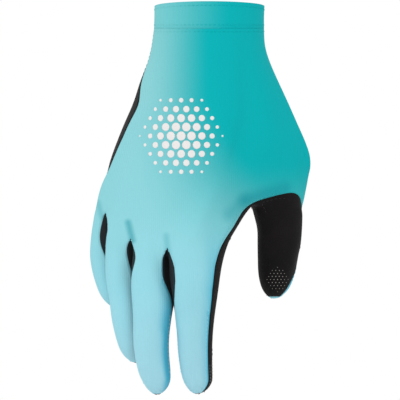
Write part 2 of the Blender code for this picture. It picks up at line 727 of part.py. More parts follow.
def build_piece(skin, name, normals):
    """Cut one piece from the skin, give it its wall and make it an object."""
    wall, colour, roughness = PIECES[name]
    points = np.array(skin.points)
    faces = [face for face, piece in zip(skin.faces, skin.pieces) if piece == name]
    moved, open_edges = pull_in(skin, faces, points)
    mesh = bmesh.new()
    outer = {number: mesh.verts.new(point) for number, point in moved.items()}
    inner = {number: mesh.verts.new(point - normals[number] * wall) for number, point in moved.items()}
    for face in faces:
        for triangle in halves(face, points):
            mesh.faces.new([outer[number] for number in triangle])
            mesh.faces.new([inner[number] for number in reversed(triangle)])
    for first, second in open_edges:
        if first < second:
            mesh.faces.new((outer[second], outer[first], inner[first]))
            mesh.faces.new((outer[second], inner[first], inner[second]))
        else:
            mesh.faces.new((outer[second], outer[first], inner[second]))
            mesh.faces.new((outer[first], inner[first], inner[second]))
    data = bpy.data.meshes.new(name)
    mesh.to_mesh(data)
    mesh.free()
    data.shade_smooth()
    data.set_sharp_from_angle(angle=math.radians(50.0))
    item = bpy.data.objects.new(name, data)
    bpy.context.scene.collection.objects.link(item)
    material = bpy.data.materials.new(name + "_cloth")
    material.use_nodes = True
    shader = material.node_tree.nodes["Principled BSDF"]
    shader.inputs["Base Color"].default_value = colour
    shader.inputs["Roughness"].default_value = roughness
    shader.inputs["Metallic"].default_value = 0.0
    data.materials.append(material)
    return item


def main():
    """Clear the scene and build every piece of the glove."""
    for item in list(bpy.data.objects):
        bpy.data.objects.remove(item, do_unlink=True)
    skin = build_skin()
    normals = skin_normals(skin)
    for name in PIECES:
        build_piece(skin, name, normals)


main()
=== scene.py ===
"""Dress the riding glove in knit, suede and mesh cloth, and photograph it on a white ground."""
import enum
import logging
import math
from dataclasses import dataclass, field
from typing import Any, Iterable, Optional, Union

import bmesh
import bpy
import numpy as np
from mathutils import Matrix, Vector
from mathutils.bvhtree import BVHTree


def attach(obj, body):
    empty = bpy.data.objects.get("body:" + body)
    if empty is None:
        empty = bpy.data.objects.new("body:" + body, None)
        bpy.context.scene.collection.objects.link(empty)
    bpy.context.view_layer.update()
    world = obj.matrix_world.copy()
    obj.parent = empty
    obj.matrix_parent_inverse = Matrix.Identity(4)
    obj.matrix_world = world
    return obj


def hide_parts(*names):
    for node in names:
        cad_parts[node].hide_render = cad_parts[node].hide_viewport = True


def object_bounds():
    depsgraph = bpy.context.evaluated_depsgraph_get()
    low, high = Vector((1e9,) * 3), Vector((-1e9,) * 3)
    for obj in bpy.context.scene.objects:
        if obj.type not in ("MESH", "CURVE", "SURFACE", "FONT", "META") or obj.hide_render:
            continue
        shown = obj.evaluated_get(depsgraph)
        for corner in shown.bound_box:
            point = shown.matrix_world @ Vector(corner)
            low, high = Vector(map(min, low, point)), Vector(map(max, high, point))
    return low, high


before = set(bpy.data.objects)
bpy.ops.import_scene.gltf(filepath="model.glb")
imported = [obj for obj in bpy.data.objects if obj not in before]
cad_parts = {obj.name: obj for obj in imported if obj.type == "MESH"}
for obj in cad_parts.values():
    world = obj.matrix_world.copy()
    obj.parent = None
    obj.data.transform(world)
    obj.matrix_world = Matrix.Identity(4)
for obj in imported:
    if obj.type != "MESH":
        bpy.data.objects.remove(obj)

FRAME_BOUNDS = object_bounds()
ALONG_TEXTURE = "cloth"       # UV map in metres over the cloth
# the sideways share also places the painted shade on the fingers' sides that face the thumb
SIDEWAYS = "sideways"         # how far each point faces the thumb's side, from -1 to 1
STITCH_SEED = 7
LOG = logging.getLogger("glove")


class Face(enum.Enum):
    """Which way a patch of spots is laid on the glove."""

    BACK_OF_HAND = "back of hand"
    THUMB_PAD = "thumb pad"
    INDEX_SIDE = "index side"


class Term:
    """One socket of a shader tree that can be used in sums and products."""

    def __init__(self, tree: "Tree", socket: bpy.types.NodeSocket) -> None:
        """Keep the socket and the tree that it is in."""
        self.tree = tree
        self.socket = socket

    def __add__(self, other: "Number") -> "Term":
        """Add."""
        return self.tree.maths("ADD", self, other)

    def __radd__(self, other: "Number") -> "Term":
        """Add, with the number first."""
        return self.tree.maths("ADD", other, self)

    def __sub__(self, other: "Number") -> "Term":
        """Take away."""
        return self.tree.maths("SUBTRACT", self, other)

    def __rsub__(self, other: "Number") -> "Term":
        """Take away from a number."""
        return self.tree.maths("SUBTRACT", other, self)

    def __mul__(self, other: "Number") -> "Term":
        """Multiply."""
        return self.tree.maths("MULTIPLY", self, other)

    def __rmul__(self, other: "Number") -> "Term":
        """Multiply, with the number first."""
        return self.tree.maths("MULTIPLY", other, self)

    def __truediv__(self, other: "Number") -> "Term":
        """Divide."""
        return self.tree.maths("DIVIDE", self, other)

    def wave(self, pitch: float) -> "Term":
        """Smooth wave between 0 and 1 that repeats over a pitch.

        Args:
            pitch: length of one wave in metres.

        Returns:
            The wave.
        """
        return self.tree.maths("SINE", self * (2.0 * math.pi / pitch)) * 0.5 + 0.5

    def rise(self, start: float, end: float) -> "Term":
        """Smooth step from 0 at one value to 1 at another.

        Args:
            start: value at which the step is 0.
            end: value at which the step is 1.

        Returns:
            The step.
        """
        return self.tree.node("ShaderNodeMapRange", {"interpolation_type": "SMOOTHSTEP"},
                              {0: self, 1: start, 2: end, 3: 0.0, 4: 1.0})


Number = Union[Term, float]


class Tree:
    """Shader tree of one finish, built node by node."""

    def __init__(self, name: str) -> None:
        """Start a material with its surface shader.

        Args:
            name: name of the material.
        """
        self.material = bpy.data.materials.new(name)
        self.material.use_nodes = True
        self.nodes = self.material.node_tree.nodes
        self.shader = self.nodes["Principled BSDF"]

    def node(self, kind: str, settings: dict[str, Any], inputs: dict[Any, Any],
             output: Union[int, str] = 0) -> Term:
        """Add a node.

        Args:
            kind: type of the node.
            settings: its settings, which are set first.
            inputs: values or terms for its sockets.
            output: socket that the term stands for.

        Returns:
            The chosen output.
        """
        made = self.nodes.new(kind)
        for key, value in settings.items():
            setattr(made, key, value)
        for key, value in inputs.items():
            self.join(value, made.inputs[key])
        return Term(self, made.outputs[output])

    def join(self, value: Any, socket: bpy.types.NodeSocket) -> None:
        """Link a term to a socket, or set the socket's value."""
        if isinstance(value, Term):
            self.material.node_tree.links.new(value.socket, socket)
        else:
            socket.default_value = value

    def maths(self, operation: str, *values: Number) -> Term:
        """Add a Math node."""
        return self.node("ShaderNodeMath", {"operation": operation}, dict(enumerate(values)))

    def mix(self, share: Number, first: Any, second: Any) -> Term:
        """Blend two colours.

        Args:
            share: share of the second colour.
            first: first colour.
            second: second colour.

        Returns:
            The blended colour.
        """
        return self.node("ShaderNodeMix", {"data_type": "RGBA"}, {0: share, 6: first, 7: second}, 2)

    def ramp(self, share: Term, stops: Iterable[tuple[float, tuple[float, ...]]]) -> Term:
        """Colour ramp with its stops.

        Args:
            share: place on the ramp.
            stops: place and colour of each stop.

        Returns:
            The colour.
        """
        colour = self.node("ShaderNodeValToRGB", {}, {0: share})
        elements = colour.socket.node.color_ramp.elements
        for index, (place, value) in enumerate(stops):
            element = elements[index] if index < len(elements) else elements.new(place)
            element.position = place
            element.color = value
        return colour

    def place(self) -> tuple[Term, Term, Term]:
        """Object coordinates in metres."""
        coordinates = self.node("ShaderNodeTexCoord", {}, {}, "Object")
        parts = self.node("ShaderNodeSeparateXYZ", {}, {0: coordinates})
        outputs = parts.socket.node.outputs
        return parts, Term(self, outputs[1]), Term(self, outputs[2])

    def cloth(self) -> tuple[Term, Term]:
        """Place over the cloth in metres, across and along."""
        coordinates = self.node("ShaderNodeUVMap", {"uv_map": ALONG_TEXTURE}, {})
        parts = self.node("ShaderNodeSeparateXYZ", {}, {0: coordinates})
        return parts, Term(self, parts.socket.node.outputs[1])

    def noise(self, scale: float, detail: float, stretch: tuple[float, float, float] = (1.0, 1.0, 1.0)) -> Term:
        """Noise over the object, finer with a larger scale.

        Args:
            scale: how fine the noise is.
            detail: how many finer layers it has.
            stretch: scale along each axis.

        Returns:
            The noise.
        """
        coordinates = self.node("ShaderNodeTexCoord", {}, {}, "Object")
        stretched = self.node("ShaderNodeMapping", {}, {0: coordinates, 3: stretch})
        return self.node("ShaderNodeTexNoise", {}, {0: stretched, "Scale": scale, "Detail": detail})

    def bump(self, height: Number, distance: float, before: Optional[Term] = None) -> Term:
        """Bump from a height.

        Args:
            height: height between 0 and 1.
            distance: metres that a height of 1 stands for.
            before: bump that this one is added to.

        Returns:
            The direction of the surface.
        """
        inputs = {"Height": height, "Distance": distance}
        if before is not None:
            inputs["Normal"] = before
        return self.node("ShaderNodeBump", {}, inputs)


def linear(code: str) -> tuple[float, float, float, float]:
    """Colour from its hexadecimal code, as linear values."""
    values = [int(code[index:index + 2], 16) / 255.0 for index in (0, 2, 4)]
    values = [value / 12.92 if value <= 0.04045 else ((value + 0.055) / 1.055) ** 2.4 for value in values]
    return (*values, 1.0)


@dataclass(frozen=True)
class CreaseShade:
    """Soft painted shade along a fold in the cloth, between two points seen from the back of the hand."""

    start: tuple[float, float]      # across, height
    end: tuple[float, float]
    width: float
    darkness: float

    def share(self, across: Term, up: Term) -> Term:
        """How far a place lies in the painted shade of the fold, from 0 outside to its darkness in the middle.

        Args:
            across: place across the glove.
            up: height.

        Returns:
            The share.
        """
        tree = across.tree
        run = (self.end[0] - self.start[0], self.end[1] - self.start[1])
        length = run[0] ** 2 + run[1] ** 2
        along = ((across - self.start[0]) * run[0] + (up - self.start[1]) * run[1]) / length
        along = tree.maths("MINIMUM", tree.maths("MAXIMUM", along, 0.0), 1.0)
        off_across = across - self.start[0] - along * run[0]
        off_up = up - self.start[1] - along * run[1]
        far = tree.maths("SQRT", off_across * off_across + off_up * off_up)
        return (1.0 - far.rise(0.0, self.width)) * self.darkness


# painted shade along the folds above the thumb's web and above the gaps between the fingers
CREASE_SHADES = (
    CreaseShade((0.0215, -0.1165), (0.0450, -0.1095), 0.0075, 0.60),
    CreaseShade((0.0120, -0.1250), (0.0215, -0.1165), 0.0070, 0.35),
    CreaseShade((-0.0488, -0.1300), (-0.0462, -0.1405), 0.0035, 0.60),
    CreaseShade((-0.0260, -0.1380), (-0.0250, -0.1470), 0.0035, 0.30),
    CreaseShade((-0.0668, -0.1180), (-0.0645, -0.1270), 0.0030, 0.30),
)


@dataclass(frozen=True)
class KnitFinish:
    """Smooth stretch knit with fine ribs, printed teal, with a pale fade to the left and the tips, and with
    painted shade between the ribs, on the fingers' sides and along the folds.
    """

    name: str
    pale: tuple[tuple[float, str], ...]
    deep: str = "00B4B9"
    # colour of the painted shade on the fingers' sides that face the thumb
    painted_side_shade: str = "2CB9DA"
    # colour of the painted shade along the folds
    crease_shade: str = "0E9AA6"
    edge: float = -0.0205           # middle of the fade across the wrist
    edge_bend: float = 5.6          # how the fade swings to the thumb's side below the wrist
    bend_start: float = 0.0564
    fade: float = 0.042             # width of the fade
    fade_growth: float = 0.90
    teal_end: tuple[float, float] = (0.092, 0.186)
    rib_pitch: float = 0.0012
    rib_depth: float = 0.00005
    loop_pitch: float = 0.0009
    roughness: float = 0.80
    sheen: float = 0.02
    # painted shade along the folds of the cloth
    creases: tuple[CreaseShade, ...] = CREASE_SHADES

    def printed(self, tree: Tree, height: float) -> Term:
        """Colour of the print over the glove, with painted shade on the fingers' sides that face the thumb and
        along the folds.

        Args:
            tree: tree of the finish.
            height: height of the glove.

        Returns:
            The colour.
        """
        across, _, up = tree.place()
        down = up * -1.0
        below = tree.maths("MAXIMUM", down - self.bend_start, 0.0)
        middle = below * below * self.edge_bend + self.edge
        share = (across - middle) / (below * self.fade_growth + self.fade) + 0.5
        deep = share.rise(0.0, 1.0) * (1.0 - down.rise(*self.teal_end))
        pale = tree.ramp(down / height, [(place, linear(code)) for place, code in self.pale])
        colour = tree.mix(deep, pale, linear(self.deep))
        # painted shade: the fingers' sides that face the thumb turn deeper blue, as if in the shadow of the
        # next finger
        sideways = tree.node("ShaderNodeAttribute", {"attribute_name": SIDEWAYS}, {}, "Fac")
        painted_side_shade = sideways.rise(0.15, 0.95) * down.rise(0.125, 0.175) * 0.85
        colour = tree.mix(painted_side_shade, colour, linear(self.painted_side_shade))
        # painted shade along the folds of the cloth
        for crease_shade in self.creases:
            colour = tree.mix(crease_shade.share(across, up), colour, linear(self.crease_shade))
        return colour

    def material(self, height: float) -> bpy.types.Material:
        """Make the material.

        Args:
            height: height of the glove.

        Returns:
            The material.
        """
        tree = Tree(self.name)
        printed = self.printed(tree, height)
        cloth_across, cloth_along = tree.cloth()
        ribs = cloth_across.wave(self.rib_pitch)
        loops = cloth_along.wave(self.loop_pitch) * ribs
        # painted shade in the grooves between the ribs, with random tone of the yarn on top
        shade = (1.0 - ribs) * 0.07 + tree.noise(900.0, 2.0) * 0.04
        tree.join(tree.mix(shade, printed, linear("0B6F78")), tree.shader.inputs["Base Color"])
        folds = tree.bump(tree.noise(34.0, 1.0, (1.0, 1.0, 0.45)), 0.0016)
        ribbed = tree.bump(ribs * 0.7 + loops * 0.3, self.rib_depth, folds)
        tree.join(tree.bump(tree.noise(2600.0, 1.0), 0.00002, ribbed), tree.shader.inputs["Normal"])
        rough = self.roughness + tree.noise(60.0, 2.0) * 0.1
        tree.join(rough, tree.shader.inputs["Roughness"])
        tree.shader.inputs["Sheen Weight"].default_value = self.sheen
        tree.shader.inputs["Sheen Roughness"].default_value = 0.5
        tree.shader.inputs["Specular IOR Level"].default_value = 0.10
        return tree.material


@dataclass(frozen=True)
class SuedeFinish:
    """Black synthetic suede with a short nap and slightly worn patches here and there."""

    name: str
    dark: str = "0D0B0B"
    worn: str = "1D1A1A"
    nap: float = 0.00010

    def material(self) -> bpy.types.Material:
        """Make the material."""
        tree = Tree(self.name)
        patches = tree.noise(70.0, 3.0).rise(0.40, 0.78) * 0.7
        grain = tree.noise(1500.0, 3.0)
        colour = tree.mix(patches * 0.6 + grain * 0.35, linear(self.dark), linear(self.worn))
        tree.join(colour, tree.shader.inputs["Base Color"])
        tree.join(0.82 + patches * 0.15, tree.shader.inputs["Roughness"])
        folds = tree.bump(tree.noise(45.0, 2.0), 0.0010)
        tree.join(tree.bump(grain, self.nap, folds), tree.shader.inputs["Normal"])
        tree.shader.inputs["Sheen Weight"].default_value = 0.06
        tree.shader.inputs["Specular IOR Level"].default_value = 0.12
        return tree.material


@dataclass(frozen=True)
class MeshFinish:
    """Black stretch mesh with rows of small holes."""

    name: str
    yarn: str = "171D21"
    hole: str = "040506"
    pitch: float = 0.0014

    def material(self) -> bpy.types.Material:
        """Make the material."""
        tree = Tree(self.name)
        across, along = tree.cloth()
        rows = (across + along).wave(self.pitch) * (across - along).wave(self.pitch)
        holes = rows.rise(0.45, 0.70)
        colour = tree.mix(holes, linear(self.yarn), linear(self.hole))
        tree.join(colour, tree.shader.inputs["Base Color"])
        tree.join(0.66 + holes * 0.25, tree.shader.inputs["Roughness"])
        tree.join(tree.bump(1.0 - holes, 0.00018), tree.shader.inputs["Normal"])
        tree.shader.inputs["Specular IOR Level"].default_value = 0.3
        return tree.material


@dataclass(frozen=True)
class RubberFinish:
    """Thin rubbery print or raised dot."""

    name: str
    colour: str
    edge: str
    roughness: float = 0.5

    def material(self) -> bpy.types.Material:
        """Make the material."""
        tree = Tree(self.name)
        mottle = tree.noise(420.0, 3.0)
        tree.join(tree.mix(mottle * 0.3, linear(self.colour), linear(self.edge)),
                  tree.shader.inputs["Base Color"])
        tree.join(self.roughness + mottle * 0.15, tree.shader.inputs["Roughness"])
        tree.join(tree.bump(mottle, 0.00003), tree.shader.inputs["Normal"])
        return tree.material


@dataclass(frozen=True)
class ThreadFinish:
    """Twisted thread."""

    name: str
    colour: str
    shadow: str

    def material(self) -> bpy.types.Material:
        """Make the material."""
        tree = Tree(self.name)
        twist = tree.noise(2200.0, 2.0, (1.0, 1.0, 0.3))
        tree.join(tree.mix(twist, linear(self.colour), linear(self.shadow)),
                  tree.shader.inputs["Base Color"])
        tree.join(0.6 + twist * 0.2, tree.shader.inputs["Roughness"])
        tree.join(tree.bump(twist, 0.00004), tree.shader.inputs["Normal"])
        return tree.material


@dataclass
class ClothPiece:
    """One sewn piece of cloth: the solid of the frame, made smooth, with soft edges at its seams."""

    node: str
    slot: str
    seam_crease: float = 0.80
    levels: int = 2
    seam_close: float = 0.00011     # how far each edge is moved out, to leave a fine seam
    sharp_angle: float = math.radians(48.0)
    points: np.ndarray = field(default_factory=lambda: np.zeros((0, 3)))
    loops: list[list[int]] = field(default_factory=list)
    inward: dict[int, np.ndarray] = field(default_factory=dict)
    body: Optional[bpy.types.Object] = None

    def build(self, finish: bpy.types.Material) -> bpy.types.Object:
        """Make the smooth piece and put it in the place of its solid.

        Args:
            finish: material of the cloth.

        Returns:
            The finished object.
        """
        cage = self.cage()
        for _ in range(2):
            self.keep_outline(cage)
        self.body = bpy.data.objects.new(self.node + "_cloth", smooth_mesh(cage, self.levels))
        bpy.context.scene.collection.objects.link(self.body)
        bpy.data.objects.remove(cage, do_unlink=True)
        data = self.body.data
        data.name = self.body.name
        data.materials.clear()
        data.materials.append(finish)
        data.shade_smooth()
        lay_texture(data)
        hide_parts(self.node)
        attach(self.body, "root")
        LOG.info("%s: %d faces", self.body.name, len(data.polygons))
        return self.body

    def cage(self) -> bpy.types.Object:
        """Coarse quad mesh of the solid, with its seam edges creased.

        Returns:
            An object with the cage.
        """
        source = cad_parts[self.node].data
        mesh = bmesh.new()
        mesh.from_mesh(source)
        bmesh.ops.remove_doubles(mesh, verts=mesh.verts, dist=1e-6)
        bmesh.ops.join_triangles(mesh, faces=mesh.faces, cmp_seam=False, cmp_sharp=False, cmp_uvs=False,
                                 cmp_vcols=False, cmp_materials=False, angle_face_threshold=math.radians(50.0),
                                 angle_shape_threshold=math.radians(80.0))
        creases = mesh.edges.layers.float.new("crease_edge")
        mesh.normal_update()
        seams = [edge for edge in mesh.edges
                 if len(edge.link_faces) == 2 and edge.calc_face_angle(0.0) > self.sharp_angle]
        for edge in seams:
            edge[creases] = self.seam_crease
        mesh.verts.index_update()
        mesh.faces.index_update()
        self.find_skin(mesh, set(seams))
        mesh.verts.ensure_lookup_table()
        for number, away in self.inward.items():
            mesh.verts[number].co -= Vector(away / np.linalg.norm(away)) * self.seam_close
        self.points = np.array([vertex.co[:] for vertex in mesh.verts])
        data = bpy.data.meshes.new(self.node + "_cage")
        mesh.to_mesh(data)
        mesh.free()
        cage = bpy.data.objects.new(self.node + "_cage", data)
        bpy.context.scene.collection.objects.link(cage)
        return cage

    def find_skin(self, mesh: bmesh.types.BMesh, seams: set[bmesh.types.BMEdge]) -> None:
        """Find the outer skin of the piece and the loops around its edge.

        Args:
            mesh: coarse mesh of the piece.
            seams: its sharp edges.
        """
        left = set(mesh.faces)
        sides = []
        while left:
            stack = [left.pop()]
            side = []
            while stack:
                face = stack.pop()
                side.append(face)
                for edge in face.edges:
                    for other in edge.link_faces:
                        if edge not in seams and other in left:
                            left.discard(other)
                            stack.append(other)
            sides.append(side)
        sides.sort(key=lambda side: sum(face.calc_area() for face in side), reverse=True)
        outer, inner = set(sides[0]), set(sides[1])
        follow: dict[int, int] = {}
        for edge in seams:
            for face in edge.link_faces:
                if face not in outer and face not in inner:
                    continue
                loop = next(item for item in edge.link_loops if item.face is face)
                first, second = loop.vert, loop.link_loop_next.vert
                if face in outer:
                    follow[first.index] = second.index
                away = Vector(face.calc_center_median()) - first.co
                along = (second.co - first.co).normalized()
                away = np.array((away - along * away.dot(along)).normalized())
                for vertex in (first, second):
                    self.inward[vertex.index] = self.inward.get(vertex.index, np.zeros(3)) + away
        while follow:
            first, second = follow.popitem()
            loop_points = [first]
            while second in follow:
                loop_points.append(second)
                second = follow.pop(second)
            self.loops.append(loop_points)

    def keep_outline(self, cage: bpy.types.Object) -> None:
        """Move the cage out so that its smooth surface keeps the outline of the solid.

        Args:
            cage: object with the coarse mesh.
        """
        smooth = smooth_mesh(cage, 1)
        count = len(self.points)
        reached = np.zeros(len(smooth.vertices) * 3)
        smooth.vertices.foreach_get("co", reached)
        now = np.zeros(count * 3)
        cage.data.vertices.foreach_get("co", now)
        moved = now + self.points.ravel() - reached[:count * 3]
        cage.data.vertices.foreach_set("co", moved)
        cage.data.update()
        bpy.data.meshes.remove(smooth)

    def tree(self) -> BVHTree:
        """Search tree over the smooth mesh."""
        data = self.body.data
        return BVHTree.FromPolygons([vertex.co for vertex in data.vertices],
                                    [polygon.vertices[:] for polygon in data.polygons])


def smooth_mesh(cage: bpy.types.Object, levels: int) -> bpy.types.Mesh:
    """Subdivide a cage and give the plain mesh.

    Args:
        cage: object with the coarse mesh.
        levels: rounds of subdivision.

    Returns:
        The smooth mesh.
    """
    modifier = cage.modifiers.new("smooth", "SUBSURF")
    modifier.levels = levels
    modifier.render_levels = levels
    graph = bpy.context.evaluated_depsgraph_get()
    graph.update()
    made = bpy.data.meshes.new_from_object(cage.evaluated_get(graph))
    cage.modifiers.remove(modifier)
    return made


def lay_texture(data: bpy.types.Mesh) -> None:
    """Give a mesh the place of each corner over the cloth in metres, seen from the nearest side.

    Args:
        data: mesh of a piece.
    """
    layer = data.uv_layers.new(name=ALONG_TEXTURE)
    for polygon in data.polygons:
        sideways = abs(polygon.normal.x) > abs(polygon.normal.y)
        for corner in polygon.loop_indices:
            point = data.vertices[data.loops[corner].vertex_index].co
            layer.data[corner].uv = (point.y if sideways else point.x, point.z)
    facing = np.zeros(len(data.vertices) * 3, dtype=np.float32)
    data.vertices.foreach_get("normal", facing)
    data.attributes.new(SIDEWAYS, "FLOAT", "POINT").data.foreach_set("value", facing[::3].copy())


@dataclass
class NodeTree:
    """Geometry node tree with named inputs."""

    name: str
    tree: bpy.types.NodeTree = field(init=False)
    identifiers: dict[str, str] = field(default_factory=dict)

    def __post_init__(self) -> None:
        """Start the tree with its geometry sockets."""
        self.tree = bpy.data.node_groups.new(self.name, "GeometryNodeTree")
        self.tree.interface.new_socket("Geometry", in_out="INPUT", socket_type="NodeSocketGeometry")
        self.tree.interface.new_socket("Geometry", in_out="OUTPUT", socket_type="NodeSocketGeometry")
        self.start = self.tree.nodes.new("NodeGroupInput")
        self.end = self.tree.nodes.new("NodeGroupOutput")

    def value(self, name: str, kind: str) -> bpy.types.NodeSocket:
        """Add a named input and give its socket."""
        socket = self.tree.interface.new_socket(name, in_out="INPUT", socket_type=kind)
        self.identifiers[name] = socket.identifier
        return self.start.outputs[name]

    def node(self, kind: str, settings: dict[str, Any], inputs: dict[Any, Any]) -> bpy.types.Node:
        """Add a node with its settings, and values or sockets for its inputs."""
        made = self.tree.nodes.new(kind)
        for key, value in settings.items():
            setattr(made, key, value)
        for key, value in inputs.items():
            if isinstance(value, bpy.types.NodeSocket):
                self.tree.links.new(value, made.inputs[key])
            else:
                made.inputs[key].default_value = value
        return made

    def finish(self, instances: bpy.types.NodeSocket) -> None:
        """Make the instances real and give them the material input."""
        material = self.value("Material", "NodeSocketMaterial")
        real = self.node("GeometryNodeRealizeInstances", {}, {0: instances})
        dressed = self.node("GeometryNodeSetMaterial", {}, {0: real.outputs[0], "Material": material})
        self.tree.links.new(dressed.outputs[0], self.end.inputs[0])

    def apply(self, name: str, carrier: bpy.types.Mesh, values: dict[str, Any]) -> bpy.types.Object:
        """Run the tree on a mesh and give the result as a plain object.

        Args:
            name: name of the new object.
            carrier: mesh that the tree works on.
            values: values of the named inputs.

        Returns:
            The new object.
        """
        holder = bpy.data.objects.new(name, carrier)
        bpy.context.scene.collection.objects.link(holder)
        modifier = holder.modifiers.new("nodes", "NODES")
        modifier.node_group = self.tree
        for key, value in values.items():
            modifier[self.identifiers[key]] = value
        graph = bpy.context.evaluated_depsgraph_get()
        graph.update()
        made = bpy.data.meshes.new_from_object(holder.evaluated_get(graph))
        bpy.data.objects.remove(holder, do_unlink=True)
        made.name = name
        item = bpy.data.objects.new(name, made)
        bpy.context.scene.collection.objects.link(item)
        return item


def stitch_tree() -> NodeTree:
    """Tree that lays stitches end to end along lines of edges."""
    tree = NodeTree("stitch_line")
    pitch = tree.value("Pitch", "NodeSocketFloat")
    length = tree.value("Length", "NodeSocketFloat")
    width = tree.value("Width", "NodeSocketFloat")
    seed = tree.value("Seed", "NodeSocketInt")
    line = tree.node("GeometryNodeMeshToCurve", {}, {0: tree.start.outputs[0]})
    spaced = tree.node("GeometryNodeResampleCurve", {"mode": "LENGTH"}, {0: line.outputs[0], "Length": pitch})
    tangent = tree.node("GeometryNodeInputTangent", {}, {})
    turn = tree.node("FunctionNodeAlignRotationToVector", {"axis": "X"}, {"Vector": tangent.outputs[0]})
    wobble = tree.node("FunctionNodeRandomValue", {"data_type": "FLOAT"}, {2: 0.92, 3: 1.04, "Seed": seed})
    uneven = tree.node("ShaderNodeMath", {"operation": "MULTIPLY"}, {0: length, 1: wobble.outputs[1]})
    size = tree.node("ShaderNodeCombineXYZ", {}, {0: uneven.outputs[0], 1: width, 2: width})
    bead = tree.node("GeometryNodeMeshIcoSphere", {}, {"Radius": 0.5, "Subdivisions": 1})
    laid = tree.node("GeometryNodeInstanceOnPoints", {}, {
        "Points": spaced.outputs[0], "Instance": bead.outputs[0],
        "Rotation": turn.outputs[0], "Scale": size.outputs[0]})
    tree.finish(laid.outputs[0])
    return tree


def spot_tree() -> NodeTree:
    """Tree that lays flat round spots on points, each as wide as its own size."""
    tree = NodeTree("spots")
    height = tree.value("Height", "NodeSocketFloat")
    facing = tree.node("GeometryNodeInputNamedAttribute", {"data_type": "FLOAT_VECTOR"}, {"Name": "facing"})
    width = tree.node("GeometryNodeInputNamedAttribute", {"data_type": "FLOAT"}, {"Name": "width"})
    turn = tree.node("FunctionNodeAlignRotationToVector", {"axis": "Z"}, {"Vector": facing.outputs[0]})
    size = tree.node("ShaderNodeCombineXYZ", {}, {0: width.outputs[0], 1: width.outputs[0], 2: height})
    dome = tree.node("GeometryNodeMeshUVSphere", {}, {"Segments": 16, "Rings": 6, "Radius": 0.5})
    laid = tree.node("GeometryNodeInstanceOnPoints", {}, {
        "Points": tree.start.outputs[0], "Instance": dome.outputs[0],
        "Rotation": turn.outputs[0], "Scale": size.outputs[0]})
    tree.finish(laid.outputs[0])
    return tree


@dataclass
class SeamStitching:
    """Stitches that run beside the edge of a piece of cloth."""

    piece: ClothPiece
    inset: float = 0.0016
    step: float = 0.0012
    pitch: float = 0.0026
    length: float = 0.0021
    width: float = 0.00042
    lift: float = 0.00008

    def line(self) -> bpy.types.Mesh:
        """Mesh of edges along the stitches, laid on the smooth surface."""
        surface = self.piece.tree()
        points: list[Vector] = []
        edges: list[tuple[int, int]] = []
        for loop in self.piece.loops:
            knots = []
            for number in loop:
                away = self.piece.inward[number]
                knots.append(self.piece.points[number] + away / np.linalg.norm(away) * self.inset)
            laid = [self.on_surface(surface, point) for point in spaced_points(np.array(knots), self.step)]
            first = len(points)
            points += [point or Vector() for point in laid]
            for index, point in enumerate(laid):
                after = (index + 1) % len(laid)
                if point and laid[after] and (point - laid[after]).length < 3.0 * self.step:
                    edges.append((first + index, first + after))
        data = bpy.data.meshes.new("stitch_path")
        data.from_pydata(points, edges, [])
        return data

    def on_surface(self, surface: BVHTree, point: np.ndarray) -> Optional[Vector]:
        """Nearest point on the cloth, lifted a little, or None away from the cloth."""
        found, normal, _, distance = surface.find_nearest(Vector(point))
        return found + normal * self.lift if distance < self.inset else None

    def build(self, tree: NodeTree, finish: bpy.types.Material, slot: str) -> bpy.types.Object:
        """Make the stitches.

        Args:
            tree: tree that lays them.
            finish: material of the thread.
            slot: material slot of the record; not used.

        Returns:
            The finished object.
        """
        name = self.piece.node + "_stitches"
        values = {"Pitch": self.pitch, "Length": self.length, "Width": self.width,
                  "Seed": STITCH_SEED, "Material": finish}
        item = tree.apply(name, self.line(), values)
        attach(item, "root")
        LOG.info("%s: %d faces", name, len(item.data.polygons))
        return item


def spaced_points(knots: np.ndarray, step: float) -> np.ndarray:
    """Evenly spaced points on a closed line through knots.

    Args:
        knots: corners of the line.
        step: distance between two points.

    Returns:
        The points.
    """
    closed = np.vstack([knots, knots[:1]])
    for _ in range(2):
        middle = 0.5 * (closed[1:] + closed[:-1])
        closed = np.vstack([middle, middle[:1]])
    lengths = np.concatenate([[0.0], np.cumsum(np.linalg.norm(np.diff(closed, axis=0), axis=1))])
    count = max(int(lengths[-1] / step), 3)
    places = np.linspace(0.0, lengths[-1], count + 1)[:-1]
    return np.column_stack([np.interp(places, lengths, closed[:, axis]) for axis in range(3)])


